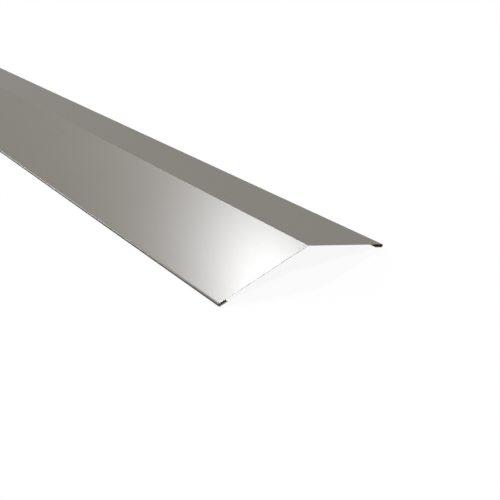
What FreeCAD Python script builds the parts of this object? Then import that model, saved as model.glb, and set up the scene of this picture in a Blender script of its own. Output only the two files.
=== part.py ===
"""Roof ridge cap: one strip of painted sheet steel, creased along its middle so that a leg lies on
each slope of the roof, with an open hem folded back under each long edge.

Millimetres and degrees. X runs along the ridge, Y across it and Z up. The origin is the middle of the
floor that the cap covers: it rests on the undersides of its two hems, at Z = 0.
"""

import FreeCAD, Part
import math
import os

import Sketcher

# Driving dimensions: name, value and what it measures.
SIZES = (
    ("cap_length", 2000.0, "length along the ridge"),
    ("leg_width", 150.0, "width of one leg, from the ridge to the outside of its hem"),
    ("leg_slope", 15.0, "fall of each leg below level, in degrees"),
    ("sheet_thickness", 0.5, "thickness of the painted sheet"),
    ("ridge_radius", 1.0, "inside radius of the crease along the ridge"),
    ("hem_gap", 4.0, "clear height inside the open hem"),
    ("hem_return", 14.0, "width of the hem, from its outside to its cut edge"),
)


def size_sheet(doc):
    """The spreadsheet that holds the driving dimensions, one row each, under their aliases."""
    sheet = doc.addObject("Spreadsheet::Sheet", "sizes")
    for row, (alias, value, meaning) in enumerate(SIZES, start=1):
        sheet.set(f"A{row}", alias)
        sheet.set(f"B{row}", str(value))
        sheet.set(f"C{row}", meaning)
        sheet.setAlias(f"B{row}", alias)
    doc.recompute()
    return sheet


def origin_plane(body, role):
    """One of the body's own origin planes, by its role."""
    return next(feature for feature in body.Origin.OriginFeatures if feature.Role == role)


def arc(centre, radius, first_angle, last_angle):
    """Anticlockwise arc in the sketch plane."""
    circle = Part.Circle(centre, FreeCAD.Vector(0, 0, 1), radius)
    return Part.ArcOfCircle(circle, first_angle, last_angle)


def leg_outline(body, sheet):
    """Sketch of the sheet's section on the +Y side of the ridge: half the crease, the leg, the half-round
    fold and the hem's return, each with an outer and an inner face that lie one sheet thickness apart."""
    slope = math.radians(sheet.leg_slope)
    thickness = sheet.sheet_thickness
    crease_outer = sheet.ridge_radius + thickness
    fold_inner = sheet.hem_gap / 2
    fold_outer = fold_inner + thickness

    # Places to start from; the constraints below then hold every one of them.
    down_leg = FreeCAD.Vector(math.cos(slope), -math.sin(slope), 0)
    outwards = FreeCAD.Vector(math.sin(slope), math.cos(slope), 0)
    leg_run = sheet.leg_width - fold_outer - crease_outer * math.tan(slope)
    return_run = sheet.hem_return - fold_outer
    crease_height = fold_outer + leg_run * math.sin(slope) + (fold_outer - crease_outer) * math.cos(slope)
    crease_centre = FreeCAD.Vector(0, crease_height, 0)
    fold_centre = crease_centre + outwards * (crease_outer - fold_outer) + down_leg * leg_run
    facing_out = math.pi / 2 - slope
    facing_in = facing_out - math.pi

    def face(crease_radius, fold_radius):
        """The four stretches of the outer or the inner face, from the ridge to the cut edge."""
        leg_top = crease_centre + outwards * crease_radius
        leg_foot = fold_centre + outwards * fold_radius
        return_root = fold_centre - outwards * fold_radius
        return_tip = return_root - down_leg * return_run
        return (
            arc(crease_centre, crease_radius, facing_out, math.pi / 2),
            Part.LineSegment(leg_top, leg_foot),
            arc(fold_centre, fold_radius, facing_in, facing_out),
            Part.LineSegment(return_root, return_tip),
        )

    sketch = body.newObject("Sketcher::SketchObject", "leg_outline")
    sketch.AttachmentSupport = (origin_plane(body, "YZ_Plane"), [""])
    sketch.MapMode = "FlatFace"

    outer = face(crease_outer, fold_outer)
    inner = face(sheet.ridge_radius, fold_inner)
    crease_o, leg_o, fold_o, return_o = [sketch.addGeometry(edge) for edge in outer]
    crease_i, leg_i, fold_i, return_i = [sketch.addGeometry(edge) for edge in inner]
    cut_edge = sketch.addGeometry(Part.LineSegment(outer[3].EndPoint, inner[3].EndPoint))
    middle = sketch.addGeometry(Part.LineSegment(inner[0].EndPoint, outer[0].EndPoint))

    # The sketcher's numbers for the two ends and the centre of a line or arc, and for the sketch's own axes.
    start, end, centre = 1, 2, 3
    level_axis, upright_axis = -1, -2

    def hold(*terms):
        return sketch.addConstraint(Sketcher.Constraint(*terms))

    def size(expression, *terms):
        sketch.setExpression(f"Constraints[{hold(*terms)}]", expression)

    # Each face runs smoothly from the crease into the leg, the fold and the return.
    for crease, leg, fold, hem in ((crease_o, leg_o, fold_o, return_o), (crease_i, leg_i, fold_i, return_i)):
        hold("Tangent", crease, start, leg, start)
        hold("Tangent", leg, end, fold, end)
        hold("Tangent", fold, start, hem, start)
        hold("PointOnObject", crease, end, upright_axis)
        hold("Parallel", hem, leg)

    # The two faces share their bends' centres, and meet at the square cut edge and on the ridge's middle.
    hold("Coincident", crease_o, centre, crease_i, centre)
    hold("Coincident", fold_o, centre, fold_i, centre)
    hold("PointOnObject", crease_o, centre, upright_axis)
    hold("Coincident", return_o, end, cut_edge, start)
    hold("Coincident", return_i, end, cut_edge, end)
    hold("Coincident", crease_i, end, middle, start)
    hold("Coincident", crease_o, end, middle, end)
    hold("Perpendicular", cut_edge, return_o)

    # The hem's fold rests on the floor.
    hold("Tangent", fold_o, level_axis)

    size("-sizes.leg_slope", "Angle", leg_o, -slope)
    size("sizes.ridge_radius", "Radius", crease_i, sheet.ridge_radius)
    size("sizes.ridge_radius + sizes.sheet_thickness", "Radius", crease_o, crease_outer)
    size("sizes.hem_gap / 2", "Radius", fold_i, fold_inner)
    size("sizes.hem_gap / 2 + sizes.sheet_thickness", "Radius", fold_o, fold_outer)
    size(
        "sizes.leg_width - sizes.hem_gap / 2 - sizes.sheet_thickness"
        " - (sizes.ridge_radius + sizes.sheet_thickness) * tan(sizes.leg_slope)",
        "Distance", leg_o, leg_run,
    )
    size("sizes.hem_return - sizes.hem_gap / 2 - sizes.sheet_thickness", "Distance", return_o, return_run)
    return sketch


def ridge_cap(doc, sheet):
    """The whole cap: one leg drawn out along the ridge, and its mirror image across the ridge."""
    body = doc.addObject("PartDesign::Body", "ridge_cap")
    sketch = leg_outline(body, sheet)

    leg = body.newObject("PartDesign::Pad", "leg")
    leg.Profile = sketch
    leg.SideType = "Symmetric"
    leg.setExpression("Length", "sizes.cap_length")
    doc.recompute()

    both_legs = body.newObject("PartDesign::Mirrored", "both_legs")
    both_legs.Originals = [leg]
    both_legs.MirrorPlane = (origin_plane(body, "XZ_Plane"), [""])
    both_legs.Refine = True
    body.Tip = both_legs
    doc.recompute()
    return body


def check(doc, piece):
    """Stops the build if a feature failed, or the piece isn't one sound solid."""
    for feature in doc.Objects:
        if "Invalid" in feature.State or "Error" in feature.State:
            raise RuntimeError(f"{feature.Label} failed: {feature.State}")
    if piece.Shape.isNull() or not piece.Shape.isValid() or len(piece.Shape.Solids) != 1:
        raise RuntimeError(f"{piece.Label} is not one valid solid")


def main():
    doc = FreeCAD.newDocument("roof_ridge_cap")
    sheet = size_sheet(doc)
    cap = ridge_cap(doc, sheet)
    check(doc, cap)
    os.makedirs("parts", exist_ok=True)
    cap.Shape.exportStep(f"parts/{cap.Label}.step")
    box = cap.Shape.BoundBox
    strip_width = cap.Shape.Volume / sheet.sheet_thickness / sheet.cap_length
    print(f"{cap.Label}: {box.XLength:.2f} x {box.YLength:.2f} x {box.ZLength:.2f} mm")
    print(f"lowest point at {box.ZMin:.4f} mm, strip width before folding {strip_width:.2f} mm")


main()
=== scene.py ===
"""Looks of the roof ridge cap: one folded sheet with rounded bends and sheared edges, baked paint on its
top, a thin backer coat underneath and bare steel where it was cut.

Metres and radians. X runs along the ridge, Y across it and Z up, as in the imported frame.
"""

import math

import bpy
import numpy as np
from mathutils import Matrix, Vector


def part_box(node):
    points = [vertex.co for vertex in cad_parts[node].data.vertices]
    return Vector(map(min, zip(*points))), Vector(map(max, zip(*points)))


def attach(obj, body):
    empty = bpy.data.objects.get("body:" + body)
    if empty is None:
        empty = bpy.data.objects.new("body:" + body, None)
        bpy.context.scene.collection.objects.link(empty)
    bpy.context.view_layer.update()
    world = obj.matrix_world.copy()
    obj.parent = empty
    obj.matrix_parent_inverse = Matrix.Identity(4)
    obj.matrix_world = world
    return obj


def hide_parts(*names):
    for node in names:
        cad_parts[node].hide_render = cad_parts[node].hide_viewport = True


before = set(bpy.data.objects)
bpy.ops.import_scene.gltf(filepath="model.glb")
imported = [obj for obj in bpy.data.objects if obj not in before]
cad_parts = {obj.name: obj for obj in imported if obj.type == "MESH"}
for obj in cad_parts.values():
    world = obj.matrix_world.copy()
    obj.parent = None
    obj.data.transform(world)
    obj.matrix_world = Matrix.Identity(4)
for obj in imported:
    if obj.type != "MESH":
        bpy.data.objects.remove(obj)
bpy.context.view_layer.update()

# Sizes of the folded sheet
LEG_WIDTH = 0.150
LEG_SLOPE = math.radians(15)
SHEET = 0.0005
RIDGE_RADIUS = 0.001
HEM_GAP = 0.004
HEM_RETURN = 0.014
CUT_EASE = 0.00012

# Steps that half the crease, a leg, a fold, a hem's return, an eased edge and the length are divided into
CREASE_STEPS = 8
LEG_STEPS = 32
FOLD_STEPS = 44
RETURN_STEPS = 12
EASE_STEPS = 5
LENGTH_STEPS = 72

# The sheet's three finishes, in the order of its materials
PAINTED, BACKED, SHEARED = range(3)

# Heights on the map of the sheet's flat pattern, where the whole map is 1
CUT_BAND = 0.014
BAND_GAP = 0.004

# Coats: a colour is linear red, green and blue, and tone and gloss say how far colour and roughness vary
PAINT = {
    "colour": (0.230, 0.208, 0.177, 1),
    "roughness": 0.307,
    "tone": 0.06,
    "gloss": 0.03,
    "skin_depth": 4e-6,
    "skin_size": 0.0005,
    "streak_width": 0.004,
    "flaked_mm": 0.02,
}
BACKER = {
    "colour": (0.41, 0.375, 0.325, 1),
    "roughness": 0.48,
    "tone": 0.16,
    "gloss": 0.08,
    "skin_depth": 8e-6,
    "skin_size": 0.0008,
    "streak_width": 0.003,
    "flaked_mm": 0.04,
}

# Bare steel: its scores vary its shade and its roughness from the first value to the second
STEEL_COLOUR = (0.52, 0.50, 0.465, 1)
STEEL_METAL = 0.3
STEEL_SHADE = (0.8, 1.2)
STEEL_ROUGHNESS = (0.40, 0.56)

# Noises of the marks: scale is grains to the metre, and squeeze draws them out along X or Z
STREAKS = {"detail": 3.0, "roughness": 0.55, "squeeze": (0.012, 1, 1)}
SKIN = {"detail": 2.0}
CLOUDS = {"scale": 3.5, "detail": 2.0}
FLAKES = {"scale": 900.0, "detail": 4.0}
STRAIN_LINES = {"scale": 2600.0, "detail": 3.0, "squeeze": (0.06, 1, 1)}
BLADE_SCORES = {"scale": 5000.0, "detail": 3.0, "squeeze": (1, 1, 0.1)}
NOISE_MIDDLE = 0.5

# How the marks show: the soft rim of a flaked patch in millimetres, the values of the noise between which a
# strained line comes up, the share of steel that shows in it, and what bare steel adds to a coat's roughness
FLAKED_RIM_MM = (-0.02, 0.05)
STRAIN_RANGE = (0.45, 0.7)
STRAINED_SHARE = 0.06
BARE_DULLING = 0.12

# Camera, as the photograph was taken: lens and sensor are in millimetres
CAMERA_PLACE = (1.6298, -0.5686, 0.4400)
CAMERA_PITCH = math.radians(25.533)
CAMERA_YAW = math.radians(36.902)
CAMERA_LENS = 51.33
CAMERA_SENSOR = 36.0
CAMERA_REACH = 100.0

# Light: each softbox has the direction to it, its strength, its colour and how wide it looks
SOFTBOXES = {
    "key": ((-0.658, 0.211, 0.723), 1.36, (0.955, 0.975, 1.0), math.radians(3)),
    "rim": ((-0.837, -0.400, 0.373), 1.20, (1, 1, 1), math.radians(26)),
    "fill": ((0.407, 0.235, 0.883), 1.42, (1, 1, 1), math.radians(8)),
}

# The studio round the cap: its strength at the horizon and overhead
STUDIO_LOW = 0.38
STUDIO_HIGH = 0.0

# Its floor: the colour that is seen, and the dim one that lights the cap from below
FLOOR_RADIUS = 9.0
FLOOR_POINTS = 96
FLOOR_COLOUR = (0.97, 0.97, 0.97, 1)
FLOOR_BOUNCE_COLOUR = (0.07, 0.07, 0.07, 1)

# Share of the white backdrop that the paint's gloss shows: in the photograph it mirrors a dim surround
WHITE_IN_GLOSS = 0.05

# Share of the cap's shadow that the white floor shows
SHADOW_SHARE = 0.08

# Sockets of a Mix node, by what it mixes: its two inputs and its output
MIX_SOCKETS = {"FLOAT": (2, 3, 0), "RGBA": (6, 7, 2)}

# For distances that the finishes read
MILLIMETRES_PER_METRE = 1000


def put_in_scene(name, data):
    """A new object of a mesh, lamp or camera, at the origin."""
    item = bpy.data.objects.new(name, data)
    bpy.context.scene.collection.objects.link(item)
    return item


# The sheet

def even_steps(length, count):
    """Steps of one length, for a bend."""
    return np.full(count, length / count)


def flat_steps(length, count):
    """Steps of a flat stretch, short next to its ends: their places follow half a cosine wave."""
    return np.diff(length * (1 - np.cos(np.linspace(0, math.pi, count + 1))) / 2)


def ease_steps():
    """Steps over the last CUT_EASE before a sheared edge: equal angles of its quarter circle."""
    return np.diff(CUT_EASE * np.sin(np.linspace(0, math.pi / 2, EASE_STEPS + 1)))


def eased(distance):
    """How far a face of the sheet falls back at a distance from a sheared edge: by a quarter circle's
    height over the last CUT_EASE, and nothing further in."""
    inwards = np.clip(1 - distance / CUT_EASE, 0, 1)
    return CUT_EASE * (1 - np.sqrt(1 - inwards ** 2))


def half_section():
    """Middle line of the sheet from the ridge to the cut edge on the +Y side, drawn from its turning.

    Each step has a length and a turn, which is nothing on the flats and shared evenly over a bend. The
    heading is the running sum of the turns, and the place is the running sum of the steps' chords: a
    chord's length is the step's times sin(half turn) / half turn, and it points along the heading at the
    middle of the step. Gives across (distance along the sheet from the ridge), y, z below the ridge,
    heading, and bend (1 on a bend).
    """
    fold_outer = HEM_GAP / 2 + SHEET
    leg_run = LEG_WIDTH - fold_outer - (RIDGE_RADIUS + SHEET) * math.tan(LEG_SLOPE)
    return_run = HEM_RETURN - fold_outer
    crease_run = (RIDGE_RADIUS + SHEET / 2) * LEG_SLOPE
    fold_run = (HEM_GAP + SHEET) / 2 * math.pi

    steps = np.concatenate([
        even_steps(crease_run, CREASE_STEPS),
        flat_steps(leg_run, LEG_STEPS),
        even_steps(fold_run, FOLD_STEPS),
        flat_steps(return_run - CUT_EASE, RETURN_STEPS),
        ease_steps(),
    ])
    turns = np.concatenate([
        even_steps(-LEG_SLOPE, CREASE_STEPS),
        np.zeros(LEG_STEPS),
        even_steps(-math.pi, FOLD_STEPS),
        np.zeros(RETURN_STEPS + EASE_STEPS),
    ])
    chords = steps * np.sinc(turns / 2 / math.pi)
    heading = np.concatenate([[0], np.cumsum(turns)])
    along_chord = heading[:-1] + turns / 2
    y = np.concatenate([[0], np.cumsum(chords * np.cos(along_chord))])
    z = np.concatenate([[0], np.cumsum(chords * np.sin(along_chord))])
    across = np.concatenate([[0], np.cumsum(steps)])
    turning = (turns != 0).astype(float)
    bend = (np.append(turning, turning[-1]) + np.append(turning[0], turning)) / 2
    return across, y, z, heading, bend


def whole_section(ridge_height):
    """Middle line of the whole sheet from the -Y cut edge to the +Y one: the half section and its mirror
    image. The outward direction stands square to the heading: (-sin, cos) of it on the +Y side."""
    across, y, z, heading, bend = half_section()
    side = np.concatenate([-np.ones(len(y) - 1), np.ones(len(y))])

    def mirrored(values):
        return np.concatenate([values[:0:-1], values])

    middle = np.stack([side * mirrored(y), ridge_height + mirrored(z)], axis=1)
    outward = np.stack([-side * np.sin(mirrored(heading)), np.cos(mirrored(heading))], axis=1)
    return side * mirrored(across), middle, outward, mirrored(bend)


def stations(length):
    """Places along the ridge, from end to end: an eased edge at each end and a flat stretch between."""
    ease = ease_steps()
    steps = np.concatenate([ease[::-1], flat_steps(length - 2 * CUT_EASE, LENGTH_STEPS), ease])
    return np.concatenate([[0], np.cumsum(steps)]) - length / 2


def quads(grid):
    """The four corners of each cell of a grid, in turn round it."""
    cells = np.stack([grid[:-1, :-1], grid[:-1, 1:], grid[1:, 1:], grid[1:, :-1]], axis=2)
    return cells.reshape(-1, 4, *grid.shape[2:])


def run_along(places):
    """Share of the way along a line of points, from 0 at its first to 1 at its last: the running sum of
    the steps between them over the whole."""
    steps = np.linalg.norm(np.diff(places, axis=0), axis=1)
    return np.concatenate([[0], np.cumsum(steps)]) / steps.sum()


def flat_pattern(points, patches):
    """Places on the unfolded strip's own map, one for each corner of each face: the patches lie above each
    other in bands as wide as the map, a broad one for a face of the sheet and a narrow one for a cut, with
    gaps between."""
    cuts = sum(finish == SHEARED for finish, _ in patches)
    broad_band = (1 - cuts * CUT_BAND - (len(patches) + 1) * BAND_GAP) / (len(patches) - cuts)
    corners = []
    start = BAND_GAP
    for finish, patch in patches:
        band = CUT_BAND if finish == SHEARED else broad_band
        u = BAND_GAP + (1 - 2 * BAND_GAP) * run_along(points[patch[0]])
        v = start + band * run_along(points[patch[:, 0]])
        corners.append(quads(np.stack(np.meshgrid(u, v), axis=2)))
        start += band + BAND_GAP
    return np.concatenate(corners)


def folded_sheet(name, length, ridge_height, materials):
    """The cap as one closed mesh on a grid of two parameters, the places across the sheet and along it.

    Each face of the sheet lies half its thickness from the section's middle line, less what eased() takes
    off next to a sheared edge, and four ribbons of cut edge join the two faces' rims.
    """
    across, middle, outward, bend = whole_section(ridge_height)
    along = stations(length)
    rows, columns = len(across), len(along)

    to_long_cut = np.abs(across).max() - np.abs(across)
    to_end_cut = length / 2 - np.abs(along)
    to_cut = np.minimum(to_long_cut[:, None], to_end_cut[None, :])
    half = (SHEET / 2 - eased(to_cut))[:, :, None]
    x = np.broadcast_to(along[None, :, None], (rows, columns, 1))
    top = np.concatenate([x, middle[:, None, :] + outward[:, None, :] * half], axis=2)
    under = np.concatenate([x, middle[:, None, :] - outward[:, None, :] * half], axis=2)
    points = np.concatenate([top.reshape(-1, 3), under.reshape(-1, 3)])

    # Each patch is a grid of points, with its faces' corners in the order that points them outwards.
    top_at = np.arange(rows * columns).reshape(rows, columns)
    under_at = top_at + rows * columns
    patches = [
        (PAINTED, top_at),
        (BACKED, under_at[:, ::-1]),
        (SHEARED, np.stack([top_at[:, 0], under_at[:, 0]])),
        (SHEARED, np.stack([top_at[::-1, -1], under_at[::-1, -1]])),
        (SHEARED, np.stack([top_at[0, ::-1], under_at[0, ::-1]])),
        (SHEARED, np.stack([top_at[-1], under_at[-1]])),
    ]
    faces = [quads(patch) for _, patch in patches]
    worn = np.repeat([finish for finish, _ in patches], [len(group) for group in faces])
    mesh = bpy.data.meshes.new(name)
    mesh.from_pydata(points, [], np.concatenate(faces))
    mesh.polygons.foreach_set("material_index", worn.astype(np.int32))
    mesh.polygons.foreach_set("use_smooth", np.ones(len(worn), bool))
    unfolded = mesh.uv_layers.new(name="OFBake")
    unfolded.uv.foreach_set("vector", flat_pattern(points, patches).astype(np.float32).ravel())

    # The marks that the coats read are the same on both faces of the sheet.
    marks = {
        "to_cut_mm": to_cut * MILLIMETRES_PER_METRE,
        "bend": np.broadcast_to(bend[:, None], (rows, columns)),
    }
    for label, values in marks.items():
        mark = mesh.attributes.new(label, "FLOAT", "POINT")
        mark.data.foreach_set("value", np.tile(values.ravel(), 2).astype(np.float32))
    for material in materials:
        mesh.materials.append(material)
    mesh.update()
    return put_in_scene(name, mesh)


# Nodes

def feed(tree, node, inputs):
    """Gives each socket of a node, by name or number, a value or the output that feeds it."""
    for socket, value in inputs.items():
        if isinstance(value, bpy.types.NodeSocket):
            tree.links.new(value, node.inputs[socket])
        else:
            node.inputs[socket].default_value = value


def add(tree, kind, inputs=None, **settings):
    """A new node with its settings, and with its sockets fed."""
    node = tree.nodes.new(kind)
    for name, value in settings.items():
        setattr(node, name, value)
    feed(tree, node, inputs or {})
    return node


def math_node(tree, operation, first, second=0.0, third=0.0):
    """What a Math node makes of up to three numbers."""
    return add(tree, "ShaderNodeMath", {0: first, 1: second, 2: third}, operation=operation).outputs[0]


def mix(tree, kind, share, first, second):
    """Two numbers (FLOAT) or colours (RGBA) mixed: first where share is 0, second where it is 1."""
    first_at, second_at, out = MIX_SOCKETS[kind]
    node = add(tree, "ShaderNodeMix", {0: share, first_at: first, second_at: second}, data_type=kind)
    return node.outputs[out]


def ranged(tree, value, source=(0, 1), target=(0, 1)):
    """A number carried from one range to another, and held at the ends of it."""
    ends = {"From Min": source[0], "From Max": source[1], "To Min": target[0], "To Max": target[1]}
    return add(tree, "ShaderNodeMapRange", {"Value": value, **ends}).outputs[0]


def noise(tree, place, scale, detail, roughness=0.5, squeeze=None):
    """A noise about NOISE_MIDDLE. Its place is first multiplied by squeeze, which draws its grains out."""
    if squeeze:
        place = add(tree, "ShaderNodeVectorMath", {0: place, 1: squeeze}, operation="MULTIPLY").outputs[0]
    settings = {"Vector": place, "Scale": scale, "Detail": detail, "Roughness": roughness}
    return add(tree, "ShaderNodeTexNoise", settings).outputs[0]


def empty_tree(owner):
    """The node tree of a material or the world, with nothing in it yet."""
    owner.use_nodes = True
    owner.node_tree.nodes.clear()
    return owner.node_tree


def new_group(name, inputs, outputs):
    """An empty shader node group, which takes a Vector and numbers and puts out numbers, and its two end
    nodes."""
    tree = bpy.data.node_groups.new(name, "ShaderNodeTree")
    tree.interface.new_socket("Vector", in_out="INPUT", socket_type="NodeSocketVector")
    for label in inputs:
        tree.interface.new_socket(label, in_out="INPUT", socket_type="NodeSocketFloat")
    for label in outputs:
        tree.interface.new_socket(label, in_out="OUTPUT", socket_type="NodeSocketFloat")
    return tree, add(tree, "NodeGroupInput"), add(tree, "NodeGroupOutput")


# Finishes

def coil_coat_group():
    """Marks of a coating rolled onto the strip and baked: faint streaks along the length with a fine
    speckle in Tone and broad clouds in Gloss, both spread evenly about zero, and the fine skin of the
    baked film in Height."""
    tree, given, put = new_group("coil_coat", ("Streak Width", "Skin Size"), ("Tone", "Gloss", "Height"))
    place = given.outputs["Vector"]
    streaks = noise(tree, place, math_node(tree, "DIVIDE", 1.0, given.outputs["Streak Width"]), **STREAKS)
    skin = noise(tree, place, math_node(tree, "DIVIDE", 1.0, given.outputs["Skin Size"]), **SKIN)
    clouds = noise(tree, place, **CLOUDS)
    speckled = math_node(tree, "ADD", streaks, skin)
    feed(tree, put, {
        "Tone": math_node(tree, "SUBTRACT", speckled, 2 * NOISE_MIDDLE),
        "Gloss": math_node(tree, "SUBTRACT", clouds, NOISE_MIDDLE),
        "Height": skin,
    })
    return tree


def edge_wear_group():
    """Mask of the coating that has flaked from a sheared edge: 1 from the cut to a ragged line about
    Reach millimetres in. The line lies at Reach times a noise over its middle value."""
    tree, given, put = new_group("edge_wear", ("To Cut", "Reach"), ("Mask",))
    wander = math_node(tree, "DIVIDE", noise(tree, given.outputs["Vector"], **FLAKES), NOISE_MIDDLE)
    line = math_node(tree, "MULTIPLY", wander, given.outputs["Reach"])
    inside = math_node(tree, "SUBTRACT", line, given.outputs["To Cut"])
    feed(tree, put, {"Mask": ranged(tree, inside, source=FLAKED_RIM_MM)})
    return tree


def bend_strain_group():
    """Mask of the film that was stretched on a bend: fine broken lines along the length, by Bend."""
    tree, given, put = new_group("bend_strain", ("Bend",), ("Mask",))
    lines = ranged(tree, noise(tree, given.outputs["Vector"], **STRAIN_LINES), source=STRAIN_RANGE)
    feed(tree, put, {"Mask": math_node(tree, "MULTIPLY", lines, given.outputs["Bend"])})
    return tree


def new_material(name):
    """A material with a Principled shader on its output, and the shader."""
    material = bpy.data.materials.new(name)
    tree = empty_tree(material)
    shader = add(tree, "ShaderNodeBsdfPrincipled")
    add(tree, "ShaderNodeOutputMaterial", {"Surface": shader.outputs[0]})
    return material, tree, shader


def coated(name, groups, colour, roughness, tone, gloss, skin_depth, skin_size, streak_width, flaked_mm):
    """A coat on the sheet: its colour varies by tone along the roller's streaks, its roughness by gloss,
    its skin stands skin_depth high, and steel shows where it has flaked from a cut or is strained open on
    a bend."""
    material, tree, shader = new_material(name)
    place = add(tree, "ShaderNodeTexCoord").outputs["Object"]
    to_cut = add(tree, "ShaderNodeAttribute", attribute_name="to_cut_mm").outputs["Fac"]
    bend = add(tree, "ShaderNodeAttribute", attribute_name="bend").outputs["Fac"]

    def marks(group, inputs):
        """Outputs of a group that is placed on the sheet with this coat's values."""
        return add(tree, "ShaderNodeGroup", {"Vector": place, **inputs}, node_tree=groups[group]).outputs

    coat = marks("coil_coat", {"Streak Width": streak_width, "Skin Size": skin_size})
    flaked = marks("edge_wear", {"To Cut": to_cut, "Reach": flaked_mm})["Mask"]
    strained = marks("bend_strain", {"Bend": bend})["Mask"]

    shade = math_node(tree, "MULTIPLY_ADD", coat["Tone"], tone, 1.0)
    tinted = add(tree, "ShaderNodeHueSaturation", {"Color": colour, "Value": shade}).outputs[0]
    bare = math_node(tree, "MAXIMUM", flaked, math_node(tree, "MULTIPLY", strained, STRAINED_SHARE))
    rough = math_node(tree, "MULTIPLY_ADD", coat["Gloss"], gloss, roughness)
    bump = add(tree, "ShaderNodeBump", {"Height": coat["Height"], "Distance": skin_depth, "Strength": 1.0})
    feed(tree, shader, {
        "Base Color": mix(tree, "RGBA", bare, tinted, STEEL_COLOUR),
        "Metallic": math_node(tree, "MULTIPLY", flaked, STEEL_METAL),
        "Roughness": math_node(tree, "MULTIPLY_ADD", bare, BARE_DULLING, rough),
        "Normal": bump.outputs[0],
    })
    return material


def sheared_steel(name):
    """Bare steel of a cut, with fine upright scores left by the shear blade: a noise drawn out through
    the sheet."""
    material, tree, shader = new_material(name)
    scores = noise(tree, add(tree, "ShaderNodeTexCoord").outputs["Object"], **BLADE_SCORES)
    shade = ranged(tree, scores, target=STEEL_SHADE)
    tinted = add(tree, "ShaderNodeHueSaturation", {"Color": STEEL_COLOUR, "Value": shade})
    feed(tree, shader, {
        "Base Color": tinted.outputs[0],
        "Metallic": STEEL_METAL,
        "Roughness": ranged(tree, scores, target=STEEL_ROUGHNESS),
    })
    return material


groups = {tree.name: tree for tree in (coil_coat_group(), edge_wear_group(), bend_strain_group())}
paint = coated("baked_paint", groups, **PAINT)
backer = coated("backer_coat", groups, **BACKER)
steel = sheared_steel("sheared_steel")

low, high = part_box("ridge_cap")
cap = folded_sheet("folded_sheet", high.x - low.x, high.z - SHEET / 2, (paint, backer, steel))
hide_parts("ridge_cap")
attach(cap, "root")


# Floor, light and camera

def open_floor_light():
    """How brightly an open floor is lit, where 1 shows a colour as it is written: each softbox gives its
    strength times the rise of its direction over pi, and the studio what it has at its mean rise, which
    is two thirds when each direction counts by its own rise."""
    lamps = sum(strength * direction[2] * np.mean(colour)
                for direction, strength, colour, _ in SOFTBOXES.values())
    mean_rise = 2 / 3
    return lamps / math.pi + STUDIO_LOW + (STUDIO_HIGH - STUDIO_LOW) * mean_rise


def white_seen(tree):
    """How much of the white backdrop a ray meets: all of it from the camera or through glass, a share in
    a gloss, and nothing where it lights a surface."""
    rays = add(tree, "ShaderNodeLightPath").outputs
    seen = math_node(tree, "MAXIMUM", rays["Is Camera Ray"], rays["Is Transmission Ray"])
    gloss = math_node(tree, "MULTIPLY", rays["Is Glossy Ray"], WHITE_IN_GLOSS)
    return math_node(tree, "MAXIMUM", seen, gloss)


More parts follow.
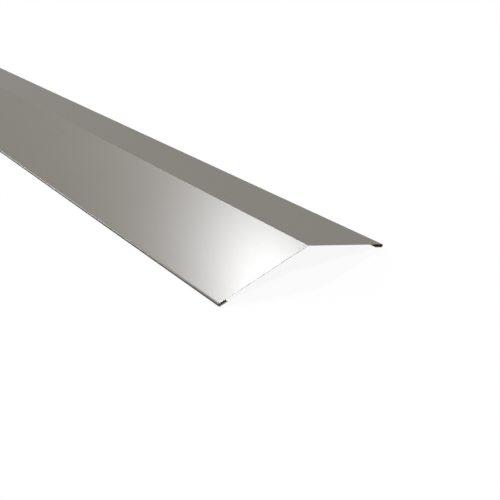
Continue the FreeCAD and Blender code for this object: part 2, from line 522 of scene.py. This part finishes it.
def studio_floor():
    """A round pale floor at the height that the cap rests on, from points round its rim. The camera sees
    it as the white backdrop with a share of the cap's shadow: where nothing shades it, its light and its
    glow make white."""
    turn = np.linspace(0, 2 * math.pi, FLOOR_POINTS, endpoint=False)
    rim = np.stack([FLOOR_RADIUS * np.cos(turn), FLOOR_RADIUS * np.sin(turn), np.zeros_like(turn)], axis=1)
    mesh = bpy.data.meshes.new("studio_floor")
    mesh.from_pydata(rim, [], [np.arange(FLOOR_POINTS)])
    floor = put_in_scene("studio_floor", mesh)

    material = bpy.data.materials.new("pale_floor")
    tree = empty_tree(material)
    seen = white_seen(tree)
    colour = mix(tree, "RGBA", seen, FLOOR_BOUNCE_COLOUR, FLOOR_COLOUR)
    lit = add(tree, "ShaderNodeBsdfDiffuse", {"Color": colour}).outputs[0]
    missing = 1 - SHADOW_SHARE * FLOOR_COLOUR[0] * open_floor_light()
    glow_share = 1 - SHADOW_SHARE
    glow = add(tree, "ShaderNodeEmission", {"Strength": missing / glow_share}).outputs[0]
    glowing = math_node(tree, "MULTIPLY", seen, glow_share)
    shown = add(tree, "ShaderNodeMixShader", {0: glowing, 1: lit, 2: glow})
    add(tree, "ShaderNodeOutputMaterial", {"Surface": shown.outputs[0]})
    mesh.materials.append(material)


def studio_round():
    """The world: the white backdrop, and round the cap a studio that dims from the horizon up. It is so
    even that rays need no aiming at it, which keeps the cap's thin edges clean."""
    world = bpy.data.worlds.new("studio")
    world.cycles.sampling_method = "NONE"
    tree = empty_tree(world)
    direction = add(tree, "ShaderNodeTexCoord").outputs["Generated"]
    up = add(tree, "ShaderNodeSeparateXYZ", {0: direction}).outputs["Z"]
    studio = ranged(tree, up, target=(STUDIO_LOW, STUDIO_HIGH))
    strength = mix(tree, "FLOAT", white_seen(tree), studio, 1.0)
    light = add(tree, "ShaderNodeBackground", {"Color": (1, 1, 1, 1), "Strength": strength})
    add(tree, "ShaderNodeOutputWorld", {"Surface": light.outputs[0]})
    bpy.context.scene.world = world


def softbox(name, direction, strength, colour, angle):
    """A softbox so far away that its light is even along the cap."""
    lamp = bpy.data.lights.new(name, "SUN")
    lamp.energy = strength
    lamp.color = colour
    lamp.angle = angle
    put_in_scene(name, lamp).rotation_euler = Vector(direction).to_track_quat("Z", "Y").to_euler()


def photo_camera():
    """The photograph's camera: it looks down by its pitch, and back along the cap turned by its yaw. It
    has no roll."""
    lens = bpy.data.cameras.new("photo_camera")
    lens.sensor_width = CAMERA_SENSOR
    lens.lens = CAMERA_LENS
    lens.clip_end = CAMERA_REACH
    level = math.cos(CAMERA_PITCH)
    forward = Vector((-math.cos(CAMERA_YAW) * level, math.sin(CAMERA_YAW) * level, -math.sin(CAMERA_PITCH)))
    turned = forward.to_track_quat("-Z", "Y").to_matrix().to_4x4()
    camera = put_in_scene("photo_camera", lens)
    camera.matrix_world = Matrix.Translation(CAMERA_PLACE) @ turned
    bpy.context.scene.camera = camera


studio_floor()
studio_round()
for name, settings in SOFTBOXES.items():
    softbox(name, *settings)
photo_camera()
bpy.context.scene.view_settings.view_transform = "Standard"
